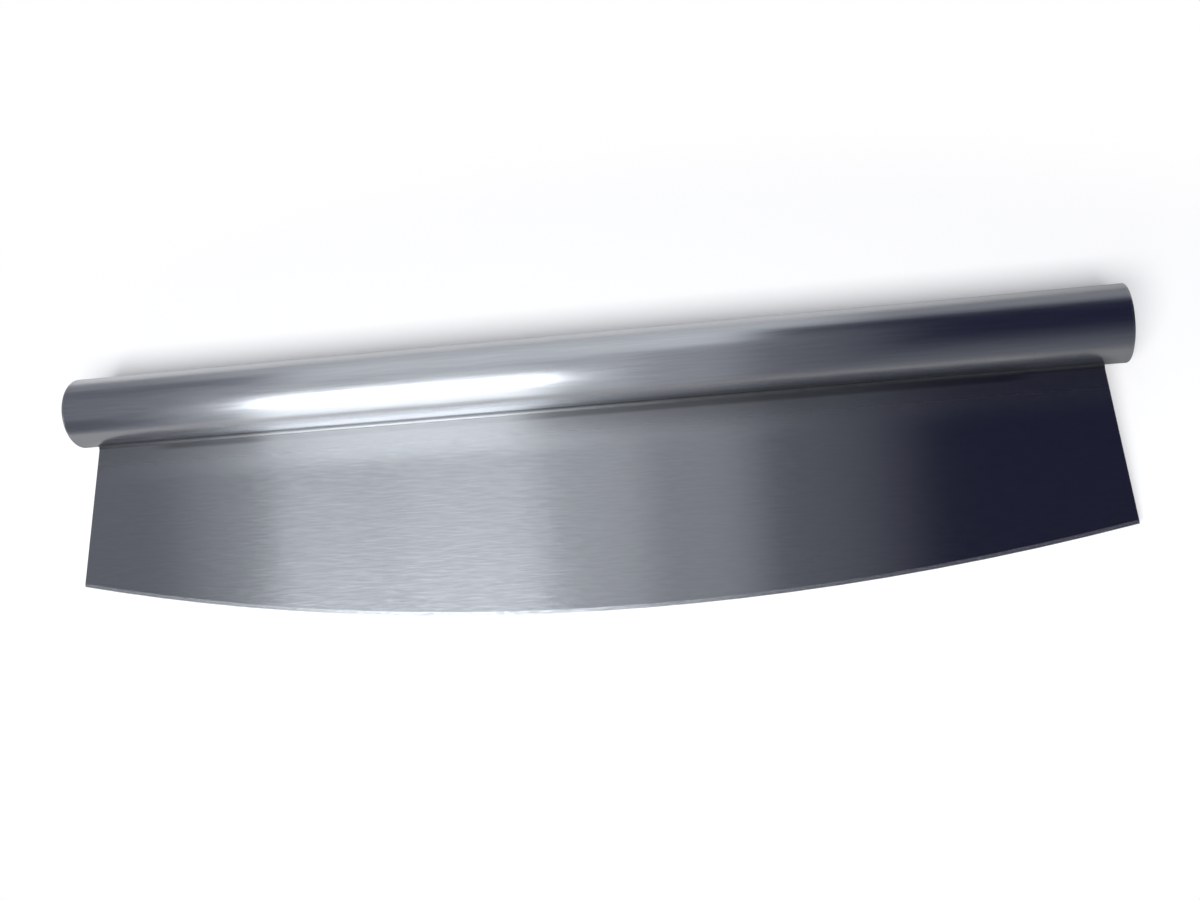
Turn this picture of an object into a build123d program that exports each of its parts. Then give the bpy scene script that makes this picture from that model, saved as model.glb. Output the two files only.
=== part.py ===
from build123d import *
from math import asin, atan2, cos, degrees, hypot, sin, sqrt
import os

# A rocking pizza knife, all stainless steel: one long thin blade with an arc edge,
# welded along the underside of a round tube that is its handle.
# It lies on its side as it is put down on a table: it rests on the tube and on the
# middle of the blade's edge. X runs along the handle, Y from the edge towards the
# handle, and Z is up. The origin is in the middle of the footprint. Sizes in millimetres.

# Handle
handle_length = 360.0  # over both end caps
tube_diameter = 25.0
tube_wall = 1.0

# Blade, with its depths measured down from the handle's axis
blade_thickness = 1.2
end_overhang = 7.6  # how far the handle reaches past the blade's top corners
side_flare = 5.1  # how far each lower corner stands out past the top corner
corner_drop = 63.0
edge_drop = 81.0  # at the middle of the cutting edge
bevel_height = 1.2  # width of the ground band along the edge
edge_flat = 0.2  # thickness left at the cutting edge
end_ease = 0.15  # chamfer that takes the burr off the splayed ends

# Tang, the thinned upper strip of the blade that goes into the tube
tang_step = 0.1  # ground off each face
tang_setback = 7.4  # from the blade's top corner to the tang's end
tang_reach = 3.0  # past the tube's wall, into the bore
slot_clearance = 0.1  # around the tang in the tube's slot

# Welds
bead_radius = 1.5  # concave face of the long seams, tangent to blade and tube
groove_depth = 0.5  # the groove round each cap, filled and ground flush

# End caps, pressed cups
cap_plate = 1.2
cap_rim_radius = 0.5
skirt_wall = 0.8
skirt_depth = 5.0
skirt_clearance = 0.1  # between the skirt and the bore
skirt_lead = 0.3  # chamfer that starts the skirt in the bore

# How far a cut runs past what it cuts
overrun = 5.0

tube_radius = tube_diameter / 2
bore_radius = tube_radius - tube_wall
blade_half = blade_thickness / 2
tang_half = blade_half - tang_step
tube_half_length = handle_length / 2 - cap_plate
top_half_width = handle_length / 2 - end_overhang
corner_half_width = top_half_width + side_flare

# The concave bead is a fillet between the blade's face and the tube.
# Its toe on the blade lies this far below the handle's axis.
bead_height = blade_half + bead_radius
toe_drop = sqrt((tube_radius + bead_radius) ** 2 - bead_height**2)

# Lying down, the knife touches the table with the tube and with the shoulder of the
# bevel at the middle of the edge, which tilts the blade by this much.
shoulder_drop = edge_drop - bevel_height
rest_tilt = asin(tube_radius / hypot(shoulder_drop, blade_half)) - atan2(blade_half, shoulder_drop)
edge_reach = edge_drop * cos(rest_tilt) + edge_flat / 2 * sin(rest_tilt)
handle_centre = (0, (edge_reach - tube_radius) / 2, tube_radius)

# The blade's middle plane: x along the handle, y from the edge to the handle,
# z out of the front face. The section plane is square to the handle: x from the
# edge to the handle, y out of the front face.
blade_plane = Plane(handle_centre).rotated((degrees(rest_tilt), 0, 0))
section_plane = Plane(handle_centre, x_dir=blade_plane.y_dir, z_dir=blade_plane.x_dir)
blade_normal = Axis(handle_centre, blade_plane.z_dir)


def half_width(drop):
    """Half the blade's width at a depth below the handle's axis, along its splayed ends."""
    flare_share = (drop - tube_radius) / (corner_drop - tube_radius)
    return top_half_width + side_flare * flare_share


def draw_strip(top_drop, bottom_drop):
    """The part of the blade's outline between two depths."""
    Polygon(
        (-half_width(bottom_drop), -bottom_drop),
        (half_width(bottom_drop), -bottom_drop),
        (half_width(top_drop), -top_drop),
        (-half_width(top_drop), -top_drop),
        align=None,
    )


# Handle tube, with a groove prepared at each end for the cap's weld
# and a closed slot along its underside for the tang
with BuildPart() as handle_tube:
    with BuildSketch(section_plane):
        Circle(tube_radius)
        Circle(bore_radius, mode=Mode.SUBTRACT)
    extrude(amount=tube_half_length, both=True)
    outer_rims = handle_tube.edges().filter_by(GeomType.CIRCLE).group_by(SortBy.RADIUS)[-1]
    chamfer(outer_rims, groove_depth)
    with BuildSketch(blade_plane):
        slot_length = 2 * (top_half_width - tang_setback + slot_clearance)
        Rectangle(slot_length, tube_radius + overrun, align=(Align.CENTER, Align.MAX))
    extrude(amount=tang_half + slot_clearance, both=True, mode=Mode.SUBTRACT)


# Blade, ground to an edge from both faces, thinned above the welds' toes
with BuildPart() as blade:
    with BuildSketch(blade_plane):
        with BuildLine():
            cutting_edge = ThreePointArc(
                (-corner_half_width, -corner_drop),
                (0, -edge_drop),
                (corner_half_width, -corner_drop),
            )
            Polyline(
                cutting_edge @ 1,
                (top_half_width, -tube_radius),
                (-top_half_width, -tube_radius),
                cutting_edge @ 0,
            )
        make_face()
    extrude(amount=blade_half, both=True)
    for end in (0, -1):
        end_face = blade.faces().sort_by(Axis.X)[end]
        long_edges = end_face.edges().group_by(SortBy.LENGTH)[-1]
        chamfer(long_edges, end_ease)

    grind_depth = (blade_thickness - edge_flat) / 2
    for side in (0, -1):
        face = blade.faces().sort_by(blade_normal)[side]
        arc = face.edges().filter_by(GeomType.CIRCLE)
        chamfer(arc, bevel_height, grind_depth, reference=face)

    for side in (1, -1):
        with BuildSketch(blade_plane.offset(side * tang_half)):
            Rectangle(handle_length, toe_drop, align=(Align.CENTER, Align.MAX))
        extrude(amount=side * (blade_half + overrun), mode=Mode.SUBTRACT)

    with BuildSketch(blade_plane):
        with Locations((0, -tube_radius)):
            tang_length = 2 * (top_half_width - tang_setback)
            Rectangle(tang_length, tube_wall + tang_reach, align=(Align.CENTER, Align.MIN))
    extrude(amount=tang_half, both=True)


# Long weld beads, front and rear, ground flush with the blade's splayed ends
with BuildPart() as front_weld_bead:
    with BuildSketch(section_plane):
        with BuildLine():
            tube_toe_share = tube_radius / (tube_radius + bead_radius)
            root = (-sqrt(tube_radius**2 - tang_half**2), tang_half)
            blade_toe = (-toe_drop, blade_half)
            tube_toe = (-toe_drop * tube_toe_share, bead_height * tube_toe_share)
            Polyline(root, (-toe_drop, tang_half), blade_toe)
            TangentArc(blade_toe, tube_toe, tangent=(1, 0))
            RadiusArc(tube_toe, root, -tube_radius)
        make_face()
    extrude(amount=handle_length / 2, both=True)
    with BuildSketch(blade_plane):
        draw_strip(0, toe_drop + overrun)
    extrude(amount=bead_height + overrun, both=True, mode=Mode.INTERSECT)

with BuildPart() as rear_weld_bead:
    mirror(front_weld_bead.part, about=blade_plane)


# Right end cap: a pressed cup whose skirt plugs the bore
with BuildPart() as right_end_cap:
    skirt_radius = bore_radius - skirt_clearance
    plate_height = tube_half_length + cap_plate
    with BuildSketch(blade_plane):
        with BuildLine():
            Polyline(
                (plate_height, 0),
                (plate_height, tube_radius),
                (tube_half_length + groove_depth, tube_radius),
                (tube_half_length, tube_radius - groove_depth),
                (tube_half_length, skirt_radius),
                (tube_half_length - skirt_depth, skirt_radius),
                (tube_half_length - skirt_depth, skirt_radius - skirt_wall),
                (tube_half_length, skirt_radius - skirt_wall),
                (tube_half_length, 0),
                close=True,
            )
        make_face()
    revolve(axis=Axis(handle_centre, blade_plane.x_dir))
    rims = right_end_cap.edges().filter_by(GeomType.CIRCLE)
    outer_rim = rims.group_by(Axis.X)[-1]
    fillet(outer_rim, cap_rim_radius)
    skirt_rim = rims.group_by(Axis.X)[0].sort_by(SortBy.RADIUS)[-1]
    chamfer(skirt_rim, skirt_lead)


# The weld in the groove between the tube's end and the right cap, ground flush
with BuildPart() as right_cap_weld:
    with BuildSketch(blade_plane):
        with BuildLine():
            Polyline(
                (tube_half_length - groove_depth, tube_radius),
                (tube_half_length, tube_radius - groove_depth),
                (tube_half_length + groove_depth, tube_radius),
                close=True,
            )
        make_face()
    revolve(axis=Axis(handle_centre, blade_plane.x_dir))


# The left end is the right end's mirror image
with BuildPart() as left_end_cap:
    mirror(right_end_cap.part, about=Plane.YZ)

with BuildPart() as left_cap_weld:
    mirror(right_cap_weld.part, about=Plane.YZ)


pieces = {
    "handle_tube": handle_tube,
    "blade": blade,
    "front_weld_bead": front_weld_bead,
    "rear_weld_bead": rear_weld_bead,
    "right_end_cap": right_end_cap,
    "left_end_cap": left_end_cap,
    "right_cap_weld": right_cap_weld,
    "left_cap_weld": left_cap_weld,
}
os.makedirs("parts", exist_ok=True)
for name, piece in pieces.items():
    piece.part.label = name
    export_step(piece.part, f"parts/{name}.step")
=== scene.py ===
import math

import bpy
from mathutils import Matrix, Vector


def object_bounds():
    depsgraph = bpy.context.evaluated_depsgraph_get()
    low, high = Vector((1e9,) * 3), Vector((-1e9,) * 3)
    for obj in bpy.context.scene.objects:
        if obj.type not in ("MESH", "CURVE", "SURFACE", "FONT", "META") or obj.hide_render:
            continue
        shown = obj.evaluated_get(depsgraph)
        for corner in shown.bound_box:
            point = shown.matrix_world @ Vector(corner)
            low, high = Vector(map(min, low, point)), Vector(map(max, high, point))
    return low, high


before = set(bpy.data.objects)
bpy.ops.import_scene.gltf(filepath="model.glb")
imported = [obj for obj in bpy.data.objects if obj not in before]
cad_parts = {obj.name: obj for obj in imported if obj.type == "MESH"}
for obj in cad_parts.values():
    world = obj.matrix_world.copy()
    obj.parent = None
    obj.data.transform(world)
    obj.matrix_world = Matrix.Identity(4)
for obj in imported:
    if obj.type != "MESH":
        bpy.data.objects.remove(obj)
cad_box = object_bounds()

# The looks of a rocking pizza knife, all brushed stainless steel, lying on a white table.
# Metres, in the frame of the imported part: X along the handle, Y from the blade's edge to
# the handle, Z up.

# An edge is two places between which something fades. A stretch is four places: where it
# begins to show, is full, begins to fade and is gone. A step is an edge, then the level
# before it and the level after it.

scene = bpy.context.scene

WHITE = (1, 1, 1, 1)
ALONG_HANDLE = (1, 0, 0)

# The handle lies on the table, at the back of the part's box
TUBE_RADIUS = 0.0125
AXIS_Y = cad_box[1][1] - TUBE_RADIUS
AXIS_Z = TUBE_RADIUS

# How far the blade leans, as the part's source works it out
BLADE_TILT = math.radians(8.5813)
BLADE_NORMAL = (0.0, -math.sin(BLADE_TILT), math.cos(BLADE_TILT))

# What the steel mirrors of the room. A direction has two measures. Its side is its X, from
# -1 at the far left to 1 at the far right. Its turn goes round X in degrees: 0 is straight
# up, 90 level towards the front and -90 level towards the back.

# The room is dim, and darker towards the right side
ROOM_STEP = (-0.30, 0.05, 0.145, 0.017)

# Stretches of turn that several panels share
WALL_TURN = (-60, -20, 110, 130)
CEILING_TURN = (-22, -6, 70, 100)
HORIZON_TURN = (-112, -96, -66, -46)

# Each panel has its brightness, its stretch along the side and its stretch of turn
PANELS = (
    # the window in front
    (1.36, (-0.450, -0.425, -0.232, -0.170), (8, 20, 108, 125)),
    # its glow overhead
    (0.545, (-0.434, -0.424, -0.222, -0.200), CEILING_TURN),
    (0.635, (-0.400, -0.310, -0.232, -0.202), CEILING_TURN),
    (0.51, (-0.437, -0.410, -0.232, -0.190), (-40, -26, -12, -4)),
    # the wall behind
    (0.61, (-0.470, -0.380, -0.060, -0.005), (-80, -62, -28, -12)),
    # dim walls on both sides of the window
    (0.315, (-0.560, -0.450, -0.300, -0.250), WALL_TURN),
    (0.175, (-0.640, -0.560, -0.480, -0.400), WALL_TURN),
    (0.455, (-0.300, -0.250, -0.160, -0.060), WALL_TURN),
    (0.305, (-0.200, -0.100, -0.075, 0.020), WALL_TURN),
    (0.13, (-0.200, -0.100, 0.000, 0.145), WALL_TURN),
    # the pale horizon behind
    (0.53, (-0.700, -0.300, -0.050, 0.200), HORIZON_TURN),
    (0.245, (-0.900, -0.600, 0.600, 0.900), HORIZON_TURN),
    # the pale ground in front
    (0.18, (-0.300, -0.100, 0.600, 0.900), (-15, 125, 150, 170)),
    (0.24, (-0.900, -0.600, -0.400, -0.200), (66, 122, 150, 170)),
)

# A darker corner of the room on the left
CORNER_SIDE = (-0.700, -0.600, -0.525, -0.490)
CORNER_TURN = (36, 50, 72, 90)
CORNER_LEVEL = 0.55

# The sky in the window
SKY_SIDE = (-0.433, -0.420, -0.218, -0.202)
SKY_TURN = (22, 30, 46, 60)
SKY_STRENGTH = 4.8

# The room's light is a little blue, its shade more so
LIGHT_TINT = (0.95, 0.99, 1.02)
SHADE_TINT = (0.0, 0.0, 0.022)

# The table keeps the shadow inside an oval round the knife and is pure white well outside
# it. The oval's half sizes are along X and Y, and its edge is in shares of them. The glow
# and the paint each have a level inside and a level outside.
TABLE_HALF_SIZE = 3.0
OVAL_HALF_SIZES = (0.215, 0.085)
OVAL_EDGE_SHARES = (1.0, 1.7)
TABLE_GLOW = (0.27, 1.0)
TABLE_PAINT = (0.79, 0.0)

# Painted shade: how bright the steel sees the table, with each step along X but where it says Y
TABLE_BEHIND = (0.0, 0.30, 0.71, 0.31)
TABLE_AHEAD = (-0.14, 0.10, 0.52, 0.34)
TABLE_FAR_AHEAD = (-0.10, 0.05, 0.36, 0.19)
LEFT_END_STEP = (-0.190, -0.150, 0.62, 1.0)
RIGHT_END_STEP = (0.155, 0.180, 1.0, 0.75)
BEHIND_EDGE_ON_Y = (0.02, 0.06)
FAR_AHEAD_EDGE_ON_Y = (-0.10, -0.06)

# A painted glow on the table under the blade, seen only by the steel, standing for the little light that
# finds its way in there
UNDER_ALONG_X = (-0.178, -0.160, 0.160, 0.178)
UNDER_ALONG_Y = (-0.055, -0.040, 0.045, 0.055)
UNDER_STRENGTH = 0.3

# The soft box, with its width and height in metres and its power in watts
LAMP_WIDTH = 1.0
LAMP_HEIGHT = 0.45
LAMP_POWER = 14.2
LAMP_PLACE = (-0.1, -0.62, 1.0)
LAMP_TILT = math.radians(32)

# The photo's camera, with its sensor and lens in millimetres
SENSOR_WIDTH = 36.0
LENS = 35.565
CAMERA_PLACE = (0.0776641, -0.1090391, 0.3818611)
CAMERA_TURN = [math.radians(a) for a in (16.6948, 10.5136, -1.3084)]
CLIP_START = 0.01

# The noise texture's middle value, how far it strays from there on average, the values
# between which its flecks go from dark to light, and how many finer layers it has
NOISE_MIDDLE = 0.5
NOISE_SPREAD = 0.12
FLECK_EDGE = (0.3, 0.7)
NOISE_DETAIL = 2.0

# A fleck is about as long as a scratch and ten times as wide, and this much smoother or
# rougher than the steel round it
FLECKS_PER_STREAK = 1.1
FLECKS_PER_GRAIN = 0.1
FLECK_ROUGHNESS_SHARE = 0.06

# Painted shade darkens the weld and the blade along it, least along this stretch of X.
LEAST_SHADE_STRETCH = (-0.120, -0.100, -0.030, 0.005)
WELD_SHADE_TONES = (0.42, 0.66)  # shaded and least shaded

# Going down the blade from the handle's axis, the painted shade along the weld fades out,
# and so does the strip that was dressed with a coarser belt
SEAM_SHADE_EDGE = (0.0150, 0.0260)
SEAM_SHADE_TONES = (0.80, 1.0)  # shaded and least shaded
# The painted shade along the weld is darker along this stretch of X
DARKER_STRETCH = (-0.030, 0.005, 0.060, 0.110)
DARKER_TONE = 0.80
DRESSED_STEP = (0.018, 0.032, 1.0, 0.0)
DRESSED_ROUGHNESS = 0.275

# The darkest line of painted shade lies in the crease at the weld's toe and stops short of the blade's
# ends
TOE_DROPS = (0.0132, 0.0140, 0.0148, 0.0166)
TOE_STRETCH = (-0.156, -0.140, 0.140, 0.156)
TOE_SHADE_TONES = (0.60, 0.88)  # shaded and least shaded

# The blade's flats face its normal to more than this share, and its bevels to less
FLAT_SHARES = (0.95, 0.97)
BEVEL_ROUGHNESS = 0.16


# Node helpers

def new_nodes(owner):
    owner.use_nodes = True
    tree = owner.node_tree
    tree.nodes.clear()
    return tree


def put(tree, kind, **settings):
    node = tree.nodes.new(kind)
    for name, value in settings.items():
        setattr(node, name, value)
    return node


def plug(tree, value, socket):
    """Links an output to a socket, or sets a plain value on it."""
    if isinstance(value, bpy.types.NodeSocket):
        tree.links.new(value, socket)
    else:
        socket.default_value = value


def math_node(tree, operation, *values):
    node = put(tree, "ShaderNodeMath", operation=operation)
    for value, socket in zip(values, node.inputs):
        plug(tree, value, socket)
    return node.outputs[0]


def vector_node(tree, operation, *vectors):
    node = put(tree, "ShaderNodeVectorMath", operation=operation)
    for vector, socket in zip(vectors, node.inputs):
        plug(tree, vector, socket)
    return node.outputs["Value" if operation == "DOT_PRODUCT" else "Vector"]


def times(tree, product, *others):
    """The product of two or more values."""
    for other in others:
        product = math_node(tree, "MULTIPLY", product, other)
    return product


def distance(tree, across, along):
    """How far two moves at right angles lead together, one across and one along."""
    squares = math_node(tree, "ADD", times(tree, across, across), times(tree, along, along))
    return math_node(tree, "SQRT", squares)


def ramp(tree, value, low, high, to_low=0.0, to_high=1.0):
    """A smooth step of value from low to high, given out between two levels."""
    node = put(tree, "ShaderNodeMapRange", interpolation_type="SMOOTHSTEP")
    plug(tree, value, node.inputs["Value"])
    node.inputs["From Min"].default_value = low
    node.inputs["From Max"].default_value = high
    plug(tree, to_low, node.inputs["To Min"])
    plug(tree, to_high, node.inputs["To Max"])
    return node.outputs["Result"]


def fade(tree, share, at_none, at_full):
    """A smooth change from one level to another as share goes from 0 to 1."""
    return ramp(tree, share, 0.0, 1.0, at_none, at_full)


def window(tree, value, rise_from, rise_to, fall_from, fall_to):
    """1 between two soft edges and 0 outside them."""
    rise = ramp(tree, value, rise_from, rise_to)
    fall = ramp(tree, value, fall_from, fall_to, 1.0, 0.0)
    return times(tree, rise, fall)


def patch(tree, across, across_stretch, along, along_stretch):
    """1 where two values are each in their stretch, and 0 outside."""
    return times(tree, window(tree, across, *across_stretch), window(tree, along, *along_stretch))


def split(tree, vector):
    axes = put(tree, "ShaderNodeSeparateXYZ")
    tree.links.new(vector, axes.inputs[0])
    return axes.outputs["X"], axes.outputs["Y"], axes.outputs["Z"]


def grey(tree, value):
    node = put(tree, "ShaderNodeCombineColor")
    for channel in node.inputs:
        plug(tree, value, channel)
    return node.outputs[0]


def mix_shaders(tree, share, first, second):
    """The first shader where share is 0 and the second where it is 1."""
    node = put(tree, "ShaderNodeMixShader")
    for value, socket in zip((share, first.outputs[0], second.outputs[0]), node.inputs):
        tree.links.new(value, socket)
    return node.outputs[0]


def mix_vectors(tree, share, first, second):
    """The first vector where share is 0 and the second where it is 1."""
    node = put(tree, "ShaderNodeMix", data_type="VECTOR")
    sockets = [s for s in node.inputs if s.enabled]
    for value, socket in zip((share, first, second), sockets):
        plug(tree, value, socket)
    return next(s for s in node.outputs if s.enabled)


# The studio

def make_world():
    """A dim room with a window for the steel to mirror. The camera sees pure white instead."""
    world = bpy.data.worlds.new("studio")
    scene.world = world
    tree = new_nodes(world)
    out = put(tree, "ShaderNodeOutputWorld")
    path = put(tree, "ShaderNodeLightPath")
    side, back, up = split(tree, put(tree, "ShaderNodeTexCoord").outputs["Generated"])
    front = times(tree, back, -1.0)
    turn = times(tree, math_node(tree, "ARCTAN2", front, up), math.degrees(1.0))

    level = ramp(tree, side, *ROOM_STEP)
    for strength, side_stretch, turn_stretch in PANELS:
        panel = patch(tree, side, side_stretch, turn, turn_stretch)
        level = math_node(tree, "MAXIMUM", level, times(tree, panel, strength))
    corner = patch(tree, side, CORNER_SIDE, turn, CORNER_TURN)
    level = times(tree, level, fade(tree, corner, 1.0, CORNER_LEVEL))

    # only the steel sees the sky
    sky = patch(tree, side, SKY_SIDE, turn, SKY_TURN)
    sky = times(tree, sky, path.outputs["Is Glossy Ray"], SKY_STRENGTH)
    level = math_node(tree, "MAXIMUM", level, sky)

    tint = put(tree, "ShaderNodeCombineColor")
    for light, shade, channel in zip(LIGHT_TINT, SHADE_TINT, tint.inputs):
        plug(tree, math_node(tree, "MULTIPLY_ADD", level, light, shade), channel)

    seen = put(tree, "ShaderNodeBackground")
    seen.inputs["Color"].default_value = WHITE
    room = put(tree, "ShaderNodeBackground")
    tree.links.new(tint.outputs[0], room.inputs["Color"])
    tree.links.new(mix_shaders(tree, path.outputs["Is Camera Ray"], room, seen), out.inputs["Surface"])


def table_mirrored(tree, x, y):
    """Painted shade on the table as the steel sees it, as in a room whose tables stay in the shade."""
    behind = ramp(tree, x, *TABLE_BEHIND)
    far_ahead = ramp(tree, x, *TABLE_FAR_AHEAD)
    left_end = ramp(tree, x, *LEFT_END_STEP)
    right_end = ramp(tree, x, *RIGHT_END_STEP)
    ahead = times(tree, ramp(tree, x, *TABLE_AHEAD), left_end, right_end)
    beside = ramp(tree, y, *FAR_AHEAD_EDGE_ON_Y, far_ahead, ahead)
    return ramp(tree, y, *BEHIND_EDGE_ON_Y, beside, behind)


def table_white():
    """White paint that the shadow falls on, with a glow for the camera, purest far out."""
    mat = bpy.data.materials.new("table")
    tree = new_nodes(mat)
    out = put(tree, "ShaderNodeOutputMaterial")
    geometry = put(tree, "ShaderNodeNewGeometry")
    path = put(tree, "ShaderNodeLightPath")
    glossy = path.outputs["Is Glossy Ray"]
    x, y = split(tree, geometry.outputs["Position"])[:2]

    across = times(tree, x, 1 / OVAL_HALF_SIZES[0])
    along = times(tree, y, 1 / OVAL_HALF_SIZES[1])
    far = ramp(tree, distance(tree, across, along), *OVAL_EDGE_SHARES)

    paint = put(tree, "ShaderNodeBsdfDiffuse")
    level = fade(tree, glossy, fade(tree, far, *TABLE_PAINT), table_mirrored(tree, x, y))
    tree.links.new(grey(tree, level), paint.inputs["Color"])

    glow = put(tree, "ShaderNodeEmission")
    glow.inputs["Color"].default_value = WHITE
    # painted glow under the blade, for the steel's reflections only
    under = times(tree, patch(tree, x, UNDER_ALONG_X, y, UNDER_ALONG_Y), UNDER_STRENGTH, glossy)
    own_light = fade(tree, far, *TABLE_GLOW)
    strength = math_node(tree, "MULTIPLY_ADD", path.outputs["Is Camera Ray"], own_light, under)
    plug(tree, strength, glow.inputs["Strength"])

    both = put(tree, "ShaderNodeAddShader")
    tree.links.new(paint.outputs[0], both.inputs[0])
    tree.links.new(glow.outputs[0], both.inputs[1])

    # seen from below the table is clear, so that the knife shows
    clear = put(tree, "ShaderNodeBsdfTransparent")
    tree.links.new(mix_shaders(tree, geometry.outputs["Backfacing"], both, clear), out.inputs["Surface"])
    return mat


def make_floor():
    half = TABLE_HALF_SIZE
    corners = [(-half, -half, 0), (half, -half, 0), (half, half, 0), (-half, half, 0)]
    mesh = bpy.data.meshes.new("floor")
    mesh.from_pydata(corners, [], [(0, 1, 2, 3)])
    floor = bpy.data.objects.new("floor", mesh)
    scene.collection.objects.link(floor)
    mesh.materials.append(table_white())


def make_light():
    data = bpy.data.lights.new("soft_box", "AREA")
    data.shape = "RECTANGLE"
    data.size = LAMP_WIDTH
    data.size_y = LAMP_HEIGHT
    data.energy = LAMP_POWER
    lamp = bpy.data.objects.new("soft_box", data)
    scene.collection.objects.link(lamp)
    lamp.location = LAMP_PLACE
    lamp.rotation_euler = (LAMP_TILT, 0, 0)
    lamp.visible_glossy = False
    lamp.visible_camera = False


def make_camera():
    data = bpy.data.cameras.new("camera")
    data.sensor_width = SENSOR_WIDTH
    data.lens = LENS
    data.clip_start = CLIP_START
    camera = bpy.data.objects.new("camera", data)
    scene.collection.objects.link(camera)
    camera.location = CAMERA_PLACE
    camera.rotation_euler = CAMERA_TURN
    scene.camera = camera


# Steel

def noise(tree, vector, scale):
    """Noise with its own scale along each axis."""
    mapping = put(tree, "ShaderNodeMapping")
    mapping.inputs["Scale"].default_value = scale
    tree.links.new(vector, mapping.inputs["Vector"])
    node = put(tree, "ShaderNodeTexNoise")
    node.inputs["Scale"].default_value = 1.0
    node.inputs["Detail"].default_value = NOISE_DETAIL
    tree.links.new(mapping.outputs[0], node.inputs["Vector"])
    return node.outputs["Fac"]


def from_axis(tree, place):
    """How far a place lies behind the handle's axis and above it."""
    y, z = split(tree, place)[1:]
    return math_node(tree, "SUBTRACT", y, AXIS_Y), math_node(tree, "SUBTRACT", z, AXIS_Z)


def spun_place(tree, place):
    """Coordinates for a turned end face: along the handle's axis and outwards from it."""
    behind, above = from_axis(tree, place)
    node = put(tree, "ShaderNodeCombineXYZ")
    plug(tree, split(tree, place)[0], node.inputs["X"])
    plug(tree, distance(tree, behind, above), node.inputs["Y"])
    return node.outputs[0]


def drop_below_axis(tree, place):
    """How far a place lies from the handle's axis towards the edge, measured along the blade."""
    behind, above = from_axis(tree, place)
    down = times(tree, behind, -math.cos(BLADE_TILT))
    return math_node(tree, "MULTIPLY_ADD", above, -math.sin(BLADE_TILT), down)


def scratched_normal(tree, normal, fine, relief):
    """The surface as its scratches lean it, to and fro across the grain."""
    scale = put(tree, "ShaderNodeVectorMath", operation="SCALE")
    plug(tree, vector_node(tree, "CROSS_PRODUCT", normal, ALONG_HANDLE), scale.inputs[0])
    slope = times(tree, math_node(tree, "SUBTRACT", fine, NOISE_MIDDLE), relief / NOISE_SPREAD)
    plug(tree, slope, scale.inputs["Scale"])
    return vector_node(tree, "NORMALIZE", vector_node(tree, "ADD", normal, scale.outputs[0]))


def weld_shade(tree, geometry, tone, rough, tangent):
    """Painted shade on the weld, least along one stretch of X."""
    x = split(tree, geometry.outputs["Position"])[0]
    least_shaded = window(tree, x, *LEAST_SHADE_STRETCH)
    return times(tree, tone, fade(tree, least_shaded, *WELD_SHADE_TONES)), rough, tangent


def blade_shade_and_finish(tree, geometry, tone, rough, tangent):
    """Painted shade along the weld, the dressed strip there, and the ground bevels."""
    place = geometry.outputs["Position"]
    x = split(tree, place)[0]
    drop = drop_below_axis(tree, place)
    least_shaded = window(tree, x, *LEAST_SHADE_STRETCH)

    # painted shade near the weld: darker along one stretch of X, least along another, darkest at the
    # weld's toe
    darker = fade(tree, window(tree, x, *DARKER_STRETCH), 1.0, DARKER_TONE)
    tint = times(tree, fade(tree, least_shaded, *SEAM_SHADE_TONES), darker)
    toe = patch(tree, drop, TOE_DROPS, x, TOE_STRETCH)
    toe_shade = fade(tree, toe, 1.0, fade(tree, least_shaded, *TOE_SHADE_TONES))
    tone = times(tree, tone, ramp(tree, drop, *SEAM_SHADE_EDGE, tint, 1.0), toe_shade)

    facing = vector_node(tree, "DOT_PRODUCT", geometry.outputs["True Normal"], BLADE_NORMAL)
    flat = ramp(tree, math_node(tree, "ABSOLUTE", facing), *FLAT_SHARES)
    dressed = ramp(tree, drop, *DRESSED_STEP)
    rough = fade(tree, flat, BEVEL_ROUGHNESS, fade(tree, dressed, rough, DRESSED_ROUGHNESS))

    # the bevels' scratches run across the edge, so they spread what they mirror along X
    return tone, rough, mix_vectors(tree, flat, ALONG_HANDLE, tangent)


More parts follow.
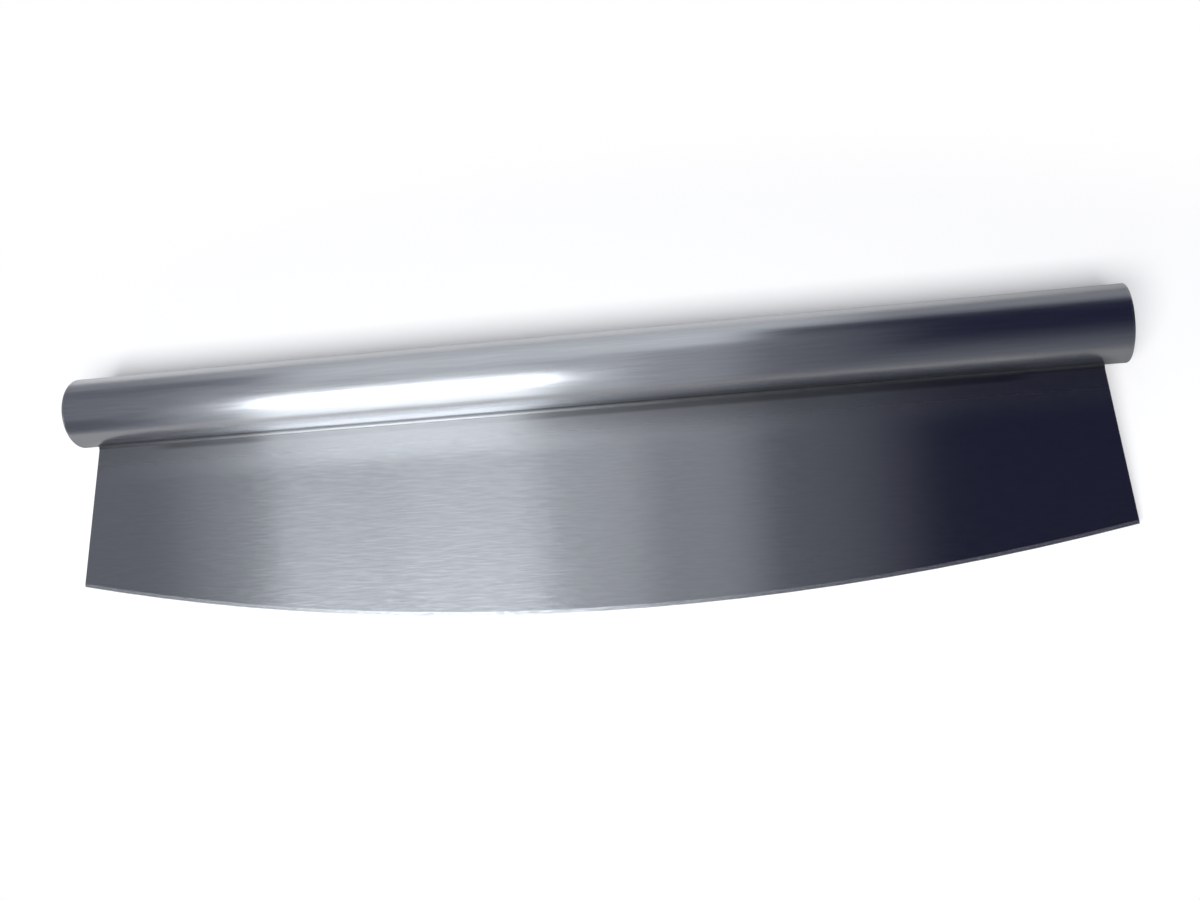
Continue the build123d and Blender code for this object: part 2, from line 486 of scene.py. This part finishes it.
def steel(name, colour, roughness, anisotropy, grain, streak, relief, fleck,
          turn=0.0, spun=False, shade_and_finish=None):
    """Brushed steel, with its scratches along X or, where it is spun, round the handle.

    grain is how wide a scratch is and streak how long, in metres. relief is the scratches'
    mean slope, fleck how much the tone varies, and turn how far the anisotropy is rotated,
    in turns. shade_and_finish is a function that paints shade into the tone and changes
    roughness and tangent by place.
    """
    mat = bpy.data.materials.new(name)
    tree = new_nodes(mat)
    out = put(tree, "ShaderNodeOutputMaterial")
    skin = put(tree, "ShaderNodeBsdfPrincipled")
    tree.links.new(skin.outputs[0], out.inputs["Surface"])
    skin.inputs["Metallic"].default_value = 1.0
    skin.inputs["Anisotropic"].default_value = anisotropy
    skin.inputs["Anisotropic Rotation"].default_value = turn
    tangent = put(tree, "ShaderNodeTangent", direction_type="RADIAL", axis="X").outputs[0]

    geometry = put(tree, "ShaderNodeNewGeometry")
    place = geometry.outputs["Position"]
    if spun:
        place = spun_place(tree, place)
    fine = noise(tree, place, (1 / streak, 1 / grain, 1 / grain))
    flecks_along = FLECKS_PER_STREAK / streak
    flecks_across = FLECKS_PER_GRAIN / grain
    broad = noise(tree, place, (flecks_along, flecks_across, flecks_across))

    tone = ramp(tree, broad, *FLECK_EDGE, 1 - fleck, 1 + fleck)
    smoother = roughness * (1 - FLECK_ROUGHNESS_SHARE)
    rougher = roughness * (1 + FLECK_ROUGHNESS_SHARE)
    rough = ramp(tree, broad, *FLECK_EDGE, smoother, rougher)
    if shade_and_finish:
        tone, rough, tangent = shade_and_finish(tree, geometry, tone, rough, tangent)

    colours = put(tree, "ShaderNodeCombineColor")
    for level, channel in zip(colour, colours.inputs):
        plug(tree, times(tree, tone, level), channel)
    tree.links.new(colours.outputs[0], skin.inputs["Base Color"])
    tree.links.new(rough, skin.inputs["Roughness"])
    tree.links.new(tangent, skin.inputs["Tangent"])
    normal = scratched_normal(tree, geometry.outputs["Normal"], fine, relief)
    tree.links.new(normal, skin.inputs["Normal"])
    return mat


def dress():
    tube = steel(
        "tube_brushed", colour=(0.75, 0.76, 0.78), roughness=0.18, anisotropy=0.9,
        grain=0.00006, streak=0.02, relief=0.02, fleck=0.03,
    )
    blade = steel(
        "blade_brushed", colour=(0.635, 0.645, 0.665), roughness=0.165, anisotropy=1.0,
        grain=0.00005, streak=0.006, relief=0.04, fleck=0.025, shade_and_finish=blade_shade_and_finish,
    )
    weld = steel(
        "weld_polished", colour=(0.62, 0.63, 0.65), roughness=0.3, anisotropy=0.9,
        grain=0.0002, streak=0.005, relief=0.02, fleck=0.04, shade_and_finish=weld_shade,
    )
    cap = steel(
        "cap_spun", colour=(0.77, 0.78, 0.80), roughness=0.2, anisotropy=0.8,
        grain=0.00015, streak=0.02, relief=0.0, fleck=0.03, turn=0.25, spun=True,
    )
    looks = {"handle_tube": tube, "blade": blade, "front_weld_bead": weld, "rear_weld_bead": weld}
    for side in ("left", "right"):
        looks[f"{side}_end_cap"] = cap
        looks[f"{side}_cap_weld"] = tube
    for node, mat in looks.items():
        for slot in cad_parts[node].material_slots:
            slot.material = mat


make_world()
make_floor()
make_light()
make_camera()
scene.view_settings.view_transform = "Standard"
dress()
